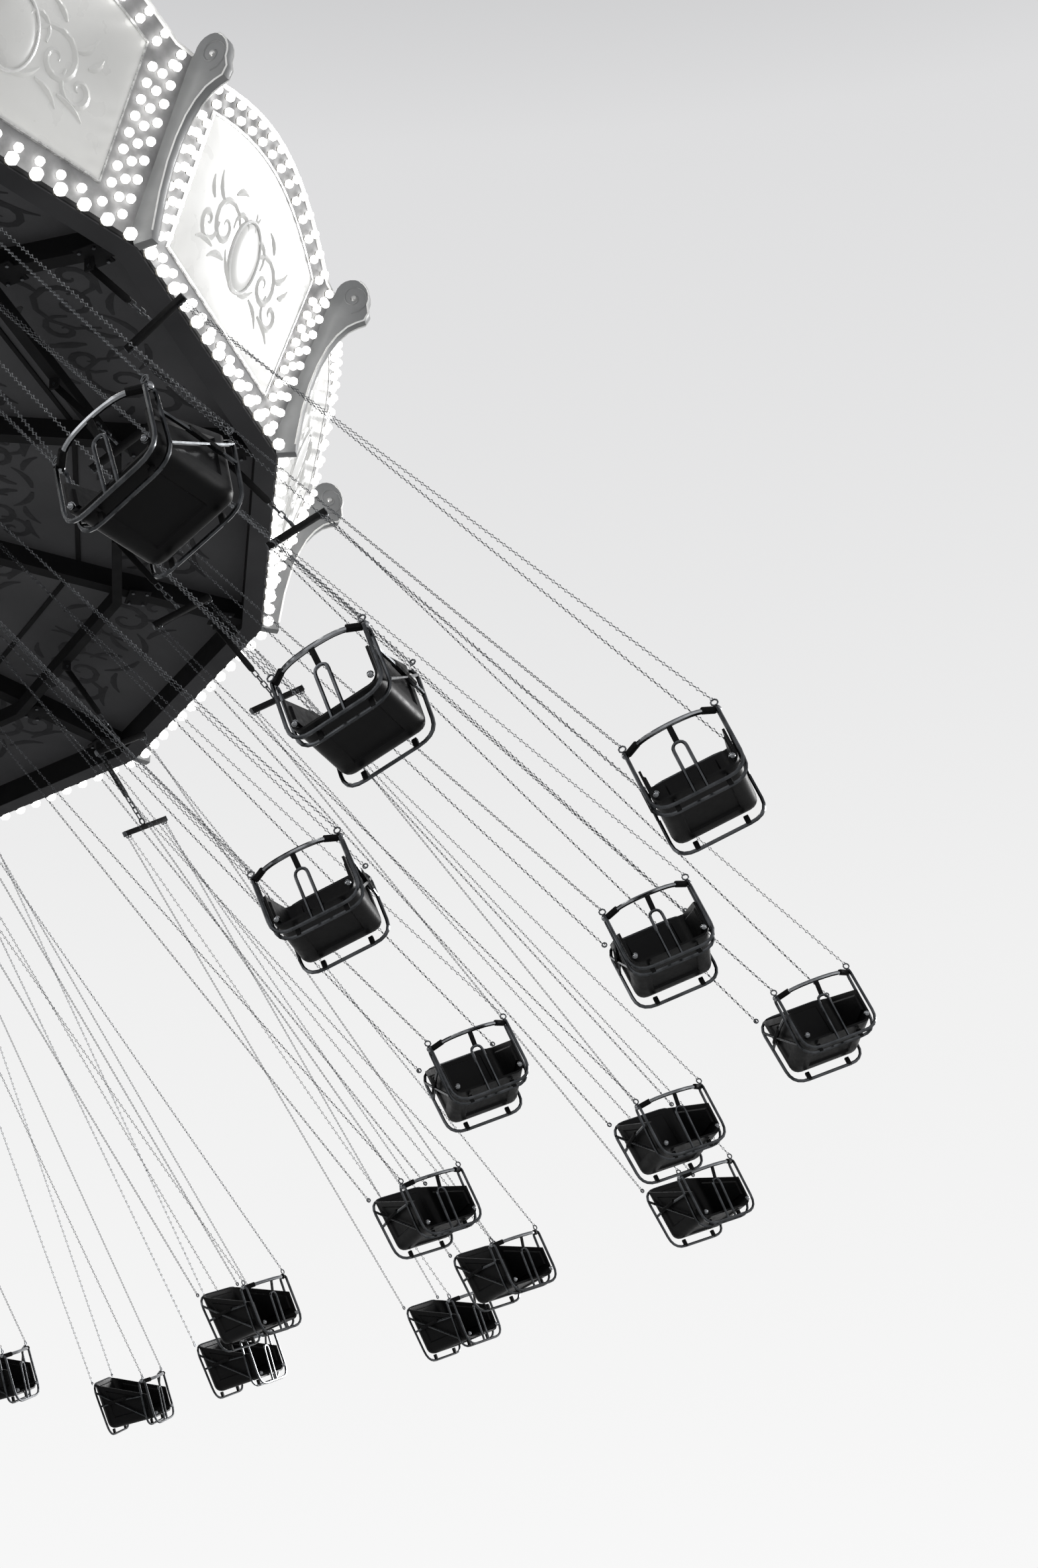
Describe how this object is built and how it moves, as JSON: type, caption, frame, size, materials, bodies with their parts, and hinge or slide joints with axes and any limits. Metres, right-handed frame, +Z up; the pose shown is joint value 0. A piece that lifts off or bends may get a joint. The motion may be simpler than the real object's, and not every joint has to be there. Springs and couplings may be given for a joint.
{
  "type": "chair swing ride",
  "caption": "Chair swing ride with rings of chairs flung out on chains from a round crown, which turns and lifts on a central mast.",
  "frame": {"origin": "centre of the plinth's underside, on the ground under the mast", "axes": "+Z up along the mast, +X towards the middle of one side of the crown"},
  "size_m": [18.4986, 18.4986, 15.23],
  "materials": {
    "plinth_paint": "mid-grey paint on steel plate, worn",
    "housing_paint": "off-white panel paint",
    "tower_steel": "dark grey paint",
    "mast_steel": "machined steel, lightly greased",
    "crown_steel": "charcoal paint",
    "ceiling_paint": "charcoal boards with a faint painted scroll pattern",
    "drum_paint": "off-white boards with painted scrolls",
    "fascia_paint": "off-white gloss boards edged with warm bulbs, grey corner brackets",
    "roof_sheet": "pale grey roof sheeting",
    "lantern_paint": "off-white paint with a silvered finial",
    "chair_black": "black bucket, chromed tubes and galvanised chain"
  },
  "bodies": {
    "base": {"base_plinth": "plinth_paint", "machine_housing": "housing_paint", "tower": "tower_steel"},
    "mast": {"lift_mast": "mast_steel"},
    "crown": {"slewing_hub": "crown_steel", "sweep_frame": "crown_steel", "hanging_ring": "crown_steel", "ceiling_panels": "ceiling_paint", "centre_drum": "drum_paint", "rounding_boards": "fascia_paint", "roof_panels": "roof_sheet", "roof_lantern": "lantern_paint"},
    "chair_outer_01": {"chair_outer_01": "chair_black"},
    "chair_outer_02": {"chair_outer_02": "chair_black"},
    "chair_outer_03": {"chair_outer_03": "chair_black"},
    "chair_outer_04": {"chair_outer_04": "chair_black"},
    "chair_outer_05": {"chair_outer_05": "chair_black"},
    "chair_outer_06": {"chair_outer_06": "chair_black"},
    "chair_outer_07": {"chair_outer_07": "chair_black"},
    "chair_outer_08": {"chair_outer_08": "chair_black"},
    "chair_outer_09": {"chair_outer_09": "chair_black"},
    "chair_outer_10": {"chair_outer_10": "chair_black"},
    "chair_outer_11": {"chair_outer_11": "chair_black"},
    "chair_outer_12": {"chair_outer_12": "chair_black"},
    "chair_outer_13": {"chair_outer_13": "chair_black"},
    "chair_outer_14": {"chair_outer_14": "chair_black"},
    "chair_outer_15": {"chair_outer_15": "chair_black"},
    "chair_outer_16": {"chair_outer_16": "chair_black"},
    "chair_middle_01": {"chair_middle_01": "chair_black"},
    "chair_middle_02": {"chair_middle_02": "chair_black"},
    "chair_middle_03": {"chair_middle_03": "chair_black"},
    "chair_middle_04": {"chair_middle_04": "chair_black"},
    "chair_middle_05": {"chair_middle_05": "chair_black"},
    "chair_middle_06": {"chair_middle_06": "chair_black"},
    "chair_middle_07": {"chair_middle_07": "chair_black"},
    "chair_middle_08": {"chair_middle_08": "chair_black"},
    "chair_middle_09": {"chair_middle_09": "chair_black"},
    "chair_middle_10": {"chair_middle_10": "chair_black"},
    "chair_middle_11": {"chair_middle_11": "chair_black"},
    "chair_middle_12": {"chair_middle_12": "chair_black"},
    "chair_middle_13": {"chair_middle_13": "chair_black"},
    "chair_middle_14": {"chair_middle_14": "chair_black"},
    "chair_middle_15": {"chair_middle_15": "chair_black"},
    "chair_middle_16": {"chair_middle_16": "chair_black"},
    "chair_inner_01": {"chair_inner_01": "chair_black"},
    "chair_inner_02": {"chair_inner_02": "chair_black"},
    "chair_inner_03": {"chair_inner_03": "chair_black"},
    "chair_inner_04": {"chair_inner_04": "chair_black"},
    "chair_inner_05": {"chair_inner_05": "chair_black"},
    "chair_inner_06": {"chair_inner_06": "chair_black"},
    "chair_inner_07": {"chair_inner_07": "chair_black"},
    "chair_inner_08": {"chair_inner_08": "chair_black"},
    "chair_inner_09": {"chair_inner_09": "chair_black"},
    "chair_inner_10": {"chair_inner_10": "chair_black"},
    "chair_inner_11": {"chair_inner_11": "chair_black"},
    "chair_inner_12": {"chair_inner_12": "chair_black"},
    "chair_inner_13": {"chair_inner_13": "chair_black"},
    "chair_inner_14": {"chair_inner_14": "chair_black"},
    "chair_inner_15": {"chair_inner_15": "chair_black"},
    "chair_inner_16": {"chair_inner_16": "chair_black"}
  },
  "joints": [
    {"name": "crown_lift", "type": "slide", "parent": "base", "child": "mast", "axis": [0, 0, 1], "range_m": [-3.9, 0]},
    {"name": "crown_spin", "type": "hinge", "parent": "mast", "child": "crown", "pos_m": [0, 0, 10.9], "axis": [0, 0, 1], "continuous": true},
    {"name": "chair_outer_01_swing", "type": "hinge", "parent": "crown", "child": "chair_outer_01", "pos_m": [5.56105, 1.10616, 10.9], "axis": [0.1951, -0.9808, 0], "range_deg": [-43, 12]},
    {"name": "chair_outer_02_swing", "type": "hinge", "parent": "crown", "child": "chair_outer_02", "pos_m": [4.71443, 3.15008, 10.9], "axis": [0.5556, -0.8315, 0], "range_deg": [-43, 12]},
    {"name": "chair_outer_03_swing", "type": "hinge", "parent": "crown", "child": "chair_outer_03", "pos_m": [3.15008, 4.71443, 10.9], "axis": [0.8315, -0.5556, 0], "range_deg": [-43, 12]},
    {"name": "chair_outer_04_swing", "type": "hinge", "parent": "crown", "child": "chair_outer_04", "pos_m": [1.10616, 5.56105, 10.9], "axis": [0.9808, -0.1951, 0], "range_deg": [-43, 12]},
    {"name": "chair_outer_05_swing", "type": "hinge", "parent": "crown", "child": "chair_outer_05", "pos_m": [-1.10616, 5.56105, 10.9], "axis": [0.9808, 0.1951, 0], "range_deg": [-43, 12]},
    {"name": "chair_outer_06_swing", "type": "hinge", "parent": "crown", "child": "chair_outer_06", "pos_m": [-3.15008, 4.71443, 10.9], "axis": [0.8315, 0.5556, 0], "range_deg": [-43, 12]},
    {"name": "chair_outer_07_swing", "type": "hinge", "parent": "crown", "child": "chair_outer_07", "pos_m": [-4.71443, 3.15008, 10.9], "axis": [0.5556, 0.8315, 0], "range_deg": [-43, 12]},
    {"name": "chair_outer_08_swing", "type": "hinge", "parent": "crown", "child": "chair_outer_08", "pos_m": [-5.56105, 1.10616, 10.9], "axis": [0.1951, 0.9808, 0], "range_deg": [-43, 12]},
    {"name": "chair_outer_09_swing", "type": "hinge", "parent": "crown", "child": "chair_outer_09", "pos_m": [-5.56105, -1.10616, 10.9], "axis": [-0.1951, 0.9808, 0], "range_deg": [-43, 12]},
    {"name": "chair_outer_10_swing", "type": "hinge", "parent": "crown", "child": "chair_outer_10", "pos_m": [-4.71443, -3.15008, 10.9], "axis": [-0.5556, 0.8315, 0], "range_deg": [-43, 12]},
    {"name": "chair_outer_11_swing", "type": "hinge", "parent": "crown", "child": "chair_outer_11", "pos_m": [-3.15008, -4.71443, 10.9], "axis": [-0.8315, 0.5556, 0], "range_deg": [-43, 12]},
    {"name": "chair_outer_12_swing", "type": "hinge", "parent": "crown", "child": "chair_outer_12", "pos_m": [-1.10616, -5.56105, 10.9], "axis": [-0.9808, 0.1951, 0], "range_deg": [-43, 12]},
    {"name": "chair_outer_13_swing", "type": "hinge", "parent": "crown", "child": "chair_outer_13", "pos_m": [1.10616, -5.56105, 10.9], "axis": [-0.9808, -0.1951, 0], "range_deg": [-43, 12]},
    {"name": "chair_outer_14_swing", "type": "hinge", "parent": "crown", "child": "chair_outer_14", "pos_m": [3.15008, -4.71443, 10.9], "axis": [-0.8315, -0.5556, 0], "range_deg": [-43, 12]},
    {"name": "chair_outer_15_swing", "type": "hinge", "parent": "crown", "child": "chair_outer_15", "pos_m": [4.71443, -3.15008, 10.9], "axis": [-0.5556, -0.8315, 0], "range_deg": [-43, 12]},
    {"name": "chair_outer_16_swing", "type": "hinge", "parent": "crown", "child": "chair_outer_16", "pos_m": [5.56105, -1.10616, 10.9], "axis": [-0.1951, -0.9808, 0], "range_deg": [-43, 12]},
    {"name": "chair_middle_01_swing", "type": "hinge", "parent": "crown", "child": "chair_middle_01", "pos_m": [4.855, 0, 10.95], "axis": [0, -1, 0], "range_deg": [-43, 12]},
    {"name": "chair_middle_02_swing", "type": "hinge", "parent": "crown", "child": "chair_middle_02", "pos_m": [4.48543, 1.85793, 10.95], "axis": [0.3827, -0.9239, 0], "range_deg": [-43, 12]},
    {"name": "chair_middle_03_swing", "type": "hinge", "parent": "crown", "child": "chair_middle_03", "pos_m": [3.433, 3.433, 10.95], "axis": [0.7071, -0.7071, 0], "range_deg": [-43, 12]},
    {"name": "chair_middle_04_swing", "type": "hinge", "parent": "crown", "child": "chair_middle_04", "pos_m": [1.85793, 4.48543, 10.95], "axis": [0.9239, -0.3827, 0], "range_deg": [-43, 12]},
    {"name": "chair_middle_05_swing", "type": "hinge", "parent": "crown", "child": "chair_middle_05", "pos_m": [0, 4.855, 10.95], "axis": [1, 0, 0], "range_deg": [-43, 12]},
    {"name": "chair_middle_06_swing", "type": "hinge", "parent": "crown", "child": "chair_middle_06", "pos_m": [-1.85793, 4.48543, 10.95], "axis": [0.9239, 0.3827, 0], "range_deg": [-43, 12]},
    {"name": "chair_middle_07_swing", "type": "hinge", "parent": "crown", "child": "chair_middle_07", "pos_m": [-3.433, 3.433, 10.95], "axis": [0.7071, 0.7071, 0], "range_deg": [-43, 12]},
    {"name": "chair_middle_08_swing", "type": "hinge", "parent": "crown", "child": "chair_middle_08", "pos_m": [-4.48543, 1.85793, 10.95], "axis": [0.3827, 0.9239, 0], "range_deg": [-43, 12]},
    {"name": "chair_middle_09_swing", "type": "hinge", "parent": "crown", "child": "chair_middle_09", "pos_m": [-4.855, 0, 10.95], "axis": [0, 1, 0], "range_deg": [-43, 12]},
    {"name": "chair_middle_10_swing", "type": "hinge", "parent": "crown", "child": "chair_middle_10", "pos_m": [-4.48543, -1.85793, 10.95], "axis": [-0.3827, 0.9239, 0], "range_deg": [-43, 12]},
    {"name": "chair_middle_11_swing", "type": "hinge", "parent": "crown", "child": "chair_middle_11", "pos_m": [-3.433, -3.433, 10.95], "axis": [-0.7071, 0.7071, 0], "range_deg": [-43, 12]},
    {"name": "chair_middle_12_swing", "type": "hinge", "parent": "crown", "child": "chair_middle_12", "pos_m": [-1.85793, -4.48543, 10.95], "axis": [-0.9239, 0.3827, 0], "range_deg": [-43, 12]},
    {"name": "chair_middle_13_swing", "type": "hinge", "parent": "crown", "child": "chair_middle_13", "pos_m": [0, -4.855, 10.95], "axis": [-1, 0, 0], "range_deg": [-43, 12]},
    {"name": "chair_middle_14_swing", "type": "hinge", "parent": "crown", "child": "chair_middle_14", "pos_m": [1.85793, -4.48543, 10.95], "axis": [-0.9239, -0.3827, 0], "range_deg": [-43, 12]},
    {"name": "chair_middle_15_swing", "type": "hinge", "parent": "crown", "child": "chair_middle_15", "pos_m": [3.433, -3.433, 10.95], "axis": [-0.7071, -0.7071, 0], "range_deg": [-43, 12]},
    {"name": "chair_middle_16_swing", "type": "hinge", "parent": "crown", "child": "chair_middle_16", "pos_m": [4.48543, -1.85793, 10.95], "axis": [-0.3827, -0.9239, 0], "range_deg": [-43, 12]},
    {"name": "chair_inner_01_swing", "type": "hinge", "parent": "crown", "child": "chair_inner_01", "pos_m": [3.42294, 0.68087, 11], "axis": [0.1951, -0.9808, 0], "range_deg": [-43, 12]},
    {"name": "chair_inner_02_swing", "type": "hinge", "parent": "crown", "child": "chair_inner_02", "pos_m": [2.90183, 1.93894, 11], "axis": [0.5556, -0.8315, 0], "range_deg": [-43, 12]},
    {"name": "chair_inner_03_swing", "type": "hinge", "parent": "crown", "child": "chair_inner_03", "pos_m": [1.93894, 2.90183, 11], "axis": [0.8315, -0.5556, 0], "range_deg": [-43, 12]},
    {"name": "chair_inner_04_swing", "type": "hinge", "parent": "crown", "child": "chair_inner_04", "pos_m": [0.68087, 3.42294, 11], "axis": [0.9808, -0.1951, 0], "range_deg": [-43, 12]},
    {"name": "chair_inner_05_swing", "type": "hinge", "parent": "crown", "child": "chair_inner_05", "pos_m": [-0.68087, 3.42294, 11], "axis": [0.9808, 0.1951, 0], "range_deg": [-43, 12]},
    {"name": "chair_inner_06_swing", "type": "hinge", "parent": "crown", "child": "chair_inner_06", "pos_m": [-1.93894, 2.90183, 11], "axis": [0.8315, 0.5556, 0], "range_deg": [-43, 12]},
    {"name": "chair_inner_07_swing", "type": "hinge", "parent": "crown", "child": "chair_inner_07", "pos_m": [-2.90183, 1.93894, 11], "axis": [0.5556, 0.8315, 0], "range_deg": [-43, 12]},
    {"name": "chair_inner_08_swing", "type": "hinge", "parent": "crown", "child": "chair_inner_08", "pos_m": [-3.42294, 0.68087, 11], "axis": [0.1951, 0.9808, 0], "range_deg": [-43, 12]},
    {"name": "chair_inner_09_swing", "type": "hinge", "parent": "crown", "child": "chair_inner_09", "pos_m": [-3.42294, -0.68087, 11], "axis": [-0.1951, 0.9808, 0], "range_deg": [-43, 12]},
    {"name": "chair_inner_10_swing", "type": "hinge", "parent": "crown", "child": "chair_inner_10", "pos_m": [-2.90183, -1.93894, 11], "axis": [-0.5556, 0.8315, 0], "range_deg": [-43, 12]},
    {"name": "chair_inner_11_swing", "type": "hinge", "parent": "crown", "child": "chair_inner_11", "pos_m": [-1.93894, -2.90183, 11], "axis": [-0.8315, 0.5556, 0], "range_deg": [-43, 12]},
    {"name": "chair_inner_12_swing", "type": "hinge", "parent": "crown", "child": "chair_inner_12", "pos_m": [-0.68087, -3.42294, 11], "axis": [-0.9808, 0.1951, 0], "range_deg": [-43, 12]},
    {"name": "chair_inner_13_swing", "type": "hinge", "parent": "crown", "child": "chair_inner_13", "pos_m": [0.68087, -3.42294, 11], "axis": [-0.9808, -0.1951, 0], "range_deg": [-43, 12]},
    {"name": "chair_inner_14_swing", "type": "hinge", "parent": "crown", "child": "chair_inner_14", "pos_m": [1.93894, -2.90183, 11], "axis": [-0.8315, -0.5556, 0], "range_deg": [-43, 12]},
    {"name": "chair_inner_15_swing", "type": "hinge", "parent": "crown", "child": "chair_inner_15", "pos_m": [2.90183, -1.93894, 11], "axis": [-0.5556, -0.8315, 0], "range_deg": [-43, 12]},
    {"name": "chair_inner_16_swing", "type": "hinge", "parent": "crown", "child": "chair_inner_16", "pos_m": [3.42294, -0.68087, 11], "axis": [-0.1951, -0.9808, 0], "range_deg": [-43, 12]}
  ],
  "couplings": [
    {"joint": "chair_outer_02_swing", "follows": "chair_outer_01_swing", "ratio": 1},
    {"joint": "chair_outer_03_swing", "follows": "chair_outer_01_swing", "ratio": 1},
    {"joint": "chair_outer_04_swing", "follows": "chair_outer_01_swing", "ratio": 1},
    {"joint": "chair_outer_05_swing", "follows": "chair_outer_01_swing", "ratio": 1},
    {"joint": "chair_outer_06_swing", "follows": "chair_outer_01_swing", "ratio": 1},
    {"joint": "chair_outer_07_swing", "follows": "chair_outer_01_swing", "ratio": 1},
    {"joint": "chair_outer_08_swing", "follows": "chair_outer_01_swing", "ratio": 1},
    {"joint": "chair_outer_09_swing", "follows": "chair_outer_01_swing", "ratio": 1},
    {"joint": "chair_outer_10_swing", "follows": "chair_outer_01_swing", "ratio": 1},
    {"joint": "chair_outer_11_swing", "follows": "chair_outer_01_swing", "ratio": 1},
    {"joint": "chair_outer_12_swing", "follows": "chair_outer_01_swing", "ratio": 1},
    {"joint": "chair_outer_13_swing", "follows": "chair_outer_01_swing", "ratio": 1},
    {"joint": "chair_outer_14_swing", "follows": "chair_outer_01_swing", "ratio": 1},
    {"joint": "chair_outer_15_swing", "follows": "chair_outer_01_swing", "ratio": 1},
    {"joint": "chair_outer_16_swing", "follows": "chair_outer_01_swing", "ratio": 1},
    {"joint": "chair_middle_01_swing", "follows": "chair_outer_01_swing", "ratio": 1},
    {"joint": "chair_middle_02_swing", "follows": "chair_outer_01_swing", "ratio": 1},
    {"joint": "chair_middle_03_swing", "follows": "chair_outer_01_swing", "ratio": 1},
    {"joint": "chair_middle_04_swing", "follows": "chair_outer_01_swing", "ratio": 1},
    {"joint": "chair_middle_05_swing", "follows": "chair_outer_01_swing", "ratio": 1},
    {"joint": "chair_middle_06_swing", "follows": "chair_outer_01_swing", "ratio": 1},
    {"joint": "chair_middle_07_swing", "follows": "chair_outer_01_swing", "ratio": 1},
    {"joint": "chair_middle_08_swing", "follows": "chair_outer_01_swing", "ratio": 1},
    {"joint": "chair_middle_09_swing", "follows": "chair_outer_01_swing", "ratio": 1},
    {"joint": "chair_middle_10_swing", "follows": "chair_outer_01_swing", "ratio": 1},
    {"joint": "chair_middle_11_swing", "follows": "chair_outer_01_swing", "ratio": 1},
    {"joint": "chair_middle_12_swing", "follows": "chair_outer_01_swing", "ratio": 1},
    {"joint": "chair_middle_13_swing", "follows": "chair_outer_01_swing", "ratio": 1},
    {"joint": "chair_middle_14_swing", "follows": "chair_outer_01_swing", "ratio": 1},
    {"joint": "chair_middle_15_swing", "follows": "chair_outer_01_swing", "ratio": 1},
    {"joint": "chair_middle_16_swing", "follows": "chair_outer_01_swing", "ratio": 1},
    {"joint": "chair_inner_01_swing", "follows": "chair_outer_01_swing", "ratio": 1},
    {"joint": "chair_inner_02_swing", "follows": "chair_outer_01_swing", "ratio": 1},
    {"joint": "chair_inner_03_swing", "follows": "chair_outer_01_swing", "ratio": 1},
    {"joint": "chair_inner_04_swing", "follows": "chair_outer_01_swing", "ratio": 1},
    {"joint": "chair_inner_05_swing", "follows": "chair_outer_01_swing", "ratio": 1},
    {"joint": "chair_inner_06_swing", "follows": "chair_outer_01_swing", "ratio": 1},
    {"joint": "chair_inner_07_swing", "follows": "chair_outer_01_swing", "ratio": 1},
    {"joint": "chair_inner_08_swing", "follows": "chair_outer_01_swing", "ratio": 1},
    {"joint": "chair_inner_09_swing", "follows": "chair_outer_01_swing", "ratio": 1},
    {"joint": "chair_inner_10_swing", "follows": "chair_outer_01_swing", "ratio": 1},
    {"joint": "chair_inner_11_swing", "follows": "chair_outer_01_swing", "ratio": 1},
    {"joint": "chair_inner_12_swing", "follows": "chair_outer_01_swing", "ratio": 1},
    {"joint": "chair_inner_13_swing", "follows": "chair_outer_01_swing", "ratio": 1},
    {"joint": "chair_inner_14_swing", "follows": "chair_outer_01_swing", "ratio": 1},
    {"joint": "chair_inner_15_swing", "follows": "chair_outer_01_swing", "ratio": 1},
    {"joint": "chair_inner_16_swing", "follows": "chair_outer_01_swing", "ratio": 1}
  ]
}
